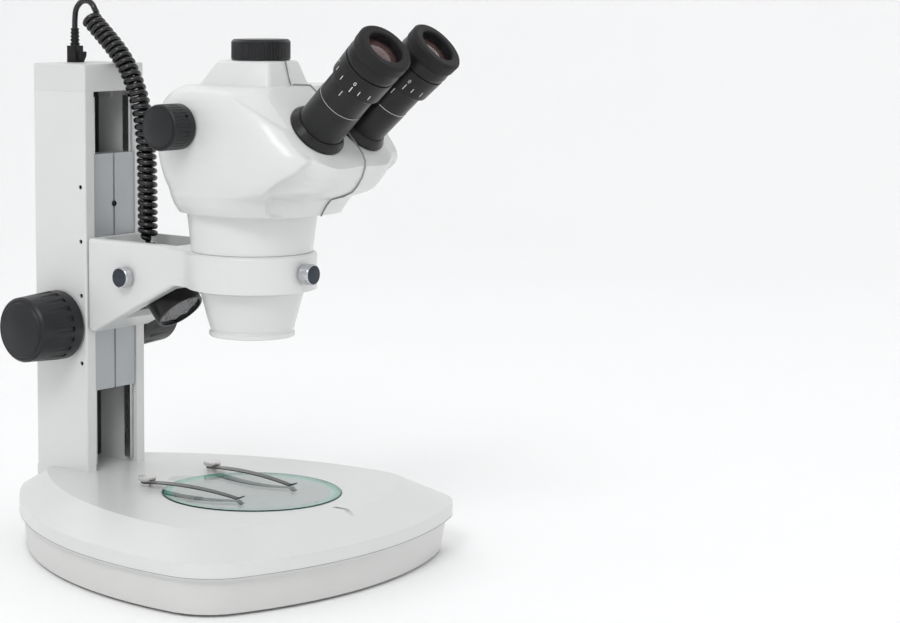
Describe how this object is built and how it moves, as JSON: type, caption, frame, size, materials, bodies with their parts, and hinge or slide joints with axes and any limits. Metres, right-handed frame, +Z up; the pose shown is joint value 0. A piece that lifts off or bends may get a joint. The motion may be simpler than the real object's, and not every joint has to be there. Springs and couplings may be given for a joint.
{
  "type": "stereo microscope",
  "caption": "Bench stereo microscope on a track stand: zoom head with inclined eye tubes and camera port, rack focus, spot lamp on a curly lead, glass stage with clips.",
  "frame": {"origin": "middle of the instrument box on the bench, under the feet; the optical axis stands 25.6 mm in front of it", "axes": "+Z up, the user sits at -Y, +X to the user's right"},
  "size_m": [0.2854, 0.3458, 0.3921],
  "materials": {
    "white_enamel": "satin white stove enamel",
    "cream_enamel": "satin warm white enamel",
    "white_plastic": "moulded light grey plastic",
    "foot_rubber": "moulded rubber",
    "zinc_steel": "zinc plated",
    "plate_glass": "polished, green at the edge",
    "diffuser": "frosted",
    "black_steel": "black oxide",
    "circuit_board": "white solder mask",
    "nickel_steel": "nickel plated and knurled",
    "rail_steel": "ground",
    "grey_panel": "dark grey sheet",
    "bush_brass": "machined",
    "black_plastic": "fine moulded texture",
    "cord_jacket": "glossy polyurethane jacket",
    "knob_plastic": "moulded dark grey",
    "carriage_grey": "bead blasted and anodised",
    "chrome_screw": "polished chrome",
    "black_anodised": "black anodised aluminium",
    "dark_window": "smoked",
    "coated_glass": "anti-reflection coated",
    "cast_frame": "black die casting",
    "black_satin": "satin black",
    "cup_rubber": "matt rubber",
    "spring_steel": "blackened spring steel"
  },
  "bodies": {
    "stand": {"base_upper_shell": "white_enamel", "base_lower_shell": "cream_enamel", "rubber_feet": "foot_rubber", "base_screws": "zinc_steel", "stage_plate": "plate_glass", "diffuser_disc": "diffuser", "diffuser_screws": "black_steel", "plate_lock_screw": "black_steel", "base_led_board": "circuit_board", "clip_screws": "nickel_steel", "column": "white_enamel", "column_cap": "white_plastic", "guide_rails": "rail_steel", "gib_screws": "black_steel", "wiring_cover": "grey_panel", "pinion_bushes": "bush_brass", "cord_socket": "black_plastic", "cord_plug": "black_plastic", "cord_tube": "cord_jacket", "cord_coil": "cord_jacket", "power_inlet": "black_plastic"},
    "focus_knobs": {"pinion_shaft": "rail_steel", "focus_knob_left": "knob_plastic", "focus_knob_right": "knob_plastic"},
    "carriage": {"carriage": "carriage_grey", "focus_rack": "bush_brass", "focus_arm": "white_enamel", "cord_grommet": "cord_jacket"},
    "head_clamp": {"head_clamp_screw": "chrome_screw"},
    "lamp": {"lamp_housing": "black_anodised", "lamp_led_board": "circuit_board", "lamp_window": "dark_window"},
    "lamp_clamp": {"lamp_clamp_screw": "chrome_screw"},
    "head": {"head_housing_left": "white_enamel", "head_housing_right": "white_enamel", "objective_barrel": "white_enamel", "objective_lens": "coated_glass", "optical_frame": "cast_frame", "photo_port": "black_anodised"},
    "zoom": {"zoom_shaft": "rail_steel", "zoom_knob_left": "knob_plastic", "zoom_knob_right": "knob_plastic"},
    "port_cap": {"port_cap": "knob_plastic"},
    "light_switch": {"light_switch": "black_plastic"},
    "dimmer": {"dimmer_dial": "knob_plastic"},
    "pupil_left": {"prism_box_left": "cast_frame", "eye_tube_left": "black_anodised"},
    "eyepiece_left": {"eyepiece_left": "black_satin", "eyecup_left": "cup_rubber", "eye_lens_left": "coated_glass"},
    "dioptre_left": {"dioptre_ring_left": "black_satin"},
    "clip_left": {"stage_clip_left": "spring_steel"},
    "pupil_right": {"prism_box_right": "cast_frame", "eye_tube_right": "black_anodised"},
    "eyepiece_right": {"eyepiece_right": "black_satin", "eyecup_right": "cup_rubber", "eye_lens_right": "coated_glass"},
    "dioptre_right": {"dioptre_ring_right": "black_satin"},
    "clip_right": {"stage_clip_right": "spring_steel"}
  },
  "joints": [
    {"name": "focus_slide", "type": "slide", "parent": "stand", "child": "carriage", "axis": [0, 0, 1], "range_m": [-0.05, 0.042], "deforming": ["cord_coil"]},
    {"name": "focus_turn", "type": "hinge", "parent": "stand", "child": "focus_knobs", "pos_m": [0, 0.12971, 0.1581], "axis": [1, 0, 0], "range_deg": [-336, 400]},
    {"name": "head_turn", "type": "hinge", "parent": "carriage", "child": "head", "pos_m": [0, -0.02559, 0.20825], "axis": [0, 0, 1], "range_deg": [-60, 60]},
    {"name": "head_clamp_turn", "type": "hinge", "parent": "carriage", "child": "head_clamp", "pos_m": [0, -0.07159, 0.20825], "axis": [0, -1, 0], "range_deg": [0, 180]},
    {"name": "lamp_tilt", "type": "hinge", "parent": "carriage", "child": "lamp", "pos_m": [0, 0.06441, 0.198], "axis": [1, 0, 0], "range_deg": [-5, 25]},
    {"name": "lamp_clamp_turn", "type": "hinge", "parent": "carriage", "child": "lamp_clamp", "pos_m": [-0.03, 0.06441, 0.198], "axis": [1, 0, 0], "range_deg": [0, 180]},
    {"name": "zoom_turn", "type": "hinge", "parent": "head", "child": "zoom", "pos_m": [0, -0.01659, 0.3084], "axis": [1, 0, 0], "range_deg": [-150, 150]},
    {"name": "port_cap_lift", "type": "slide", "parent": "head", "child": "port_cap", "axis": [0, 0, 1], "range_m": [0, 0.02]},
    {"name": "pupil_right_swing", "type": "hinge", "parent": "head", "child": "pupil_right", "pos_m": [0.02048, -0.0822, 0.32577], "axis": [0.0681, -0.7341, 0.6756], "range_deg": [-2, 20]},
    {"name": "pupil_left_swing", "type": "hinge", "parent": "head", "child": "pupil_left", "pos_m": [-0.02048, -0.0822, 0.32577], "axis": [-0.0681, -0.7341, 0.6756], "range_deg": [-20, 2]},
    {"name": "light_switch_rock", "type": "hinge", "parent": "stand", "child": "light_switch", "pos_m": [0, 0.15541, 0.11], "axis": [1, 0, 0], "range_deg": [-8, 8]},
    {"name": "dimmer_turn", "type": "hinge", "parent": "stand", "child": "dimmer", "pos_m": [0, 0.15641, 0.086], "axis": [0, 1, 0], "range_deg": [0, 270]},
    {"name": "dioptre_left_shift", "type": "slide", "parent": "pupil_left", "child": "eyepiece_left", "axis": [-0.0681, -0.7341, 0.6756], "range_m": [-0.002, 0.002]},
    {"name": "dioptre_left_turn", "type": "hinge", "parent": "eyepiece_left", "child": "dioptre_left", "pos_m": [-0.02598, -0.14153, 0.34511], "axis": [-0.0681, -0.7341, 0.6756], "range_deg": [-125, 125]},
    {"name": "clip_left_swing", "type": "hinge", "parent": "stand", "child": "clip_left", "pos_m": [-0.0345, 0.04191, 0.0544], "axis": [0, 0, 1], "range_deg": [-60, 15]},
    {"name": "dioptre_right_shift", "type": "slide", "parent": "pupil_right", "child": "eyepiece_right", "axis": [0.0681, -0.7341, 0.6756], "range_m": [-0.002, 0.002]},
    {"name": "dioptre_right_turn", "type": "hinge", "parent": "eyepiece_right", "child": "dioptre_right", "pos_m": [0.02598, -0.14153, 0.34511], "axis": [0.0681, -0.7341, 0.6756], "range_deg": [-125, 125]},
    {"name": "clip_right_swing", "type": "hinge", "parent": "stand", "child": "clip_right", "pos_m": [0.0345, 0.04191, 0.0544], "axis": [0, 0, 1], "range_deg": [-15, 60]}
  ],
  "couplings": [
    {"joint": "focus_turn", "follows": "focus_slide", "rad_per_m": -138.89},
    {"joint": "pupil_left_swing", "follows": "pupil_right_swing", "ratio": -1},
    {"joint": "dioptre_left_turn", "follows": "dioptre_left_shift", "rad_per_m": 1047.2},
    {"joint": "dioptre_right_turn", "follows": "dioptre_right_shift", "rad_per_m": 1047.2}
  ]
}
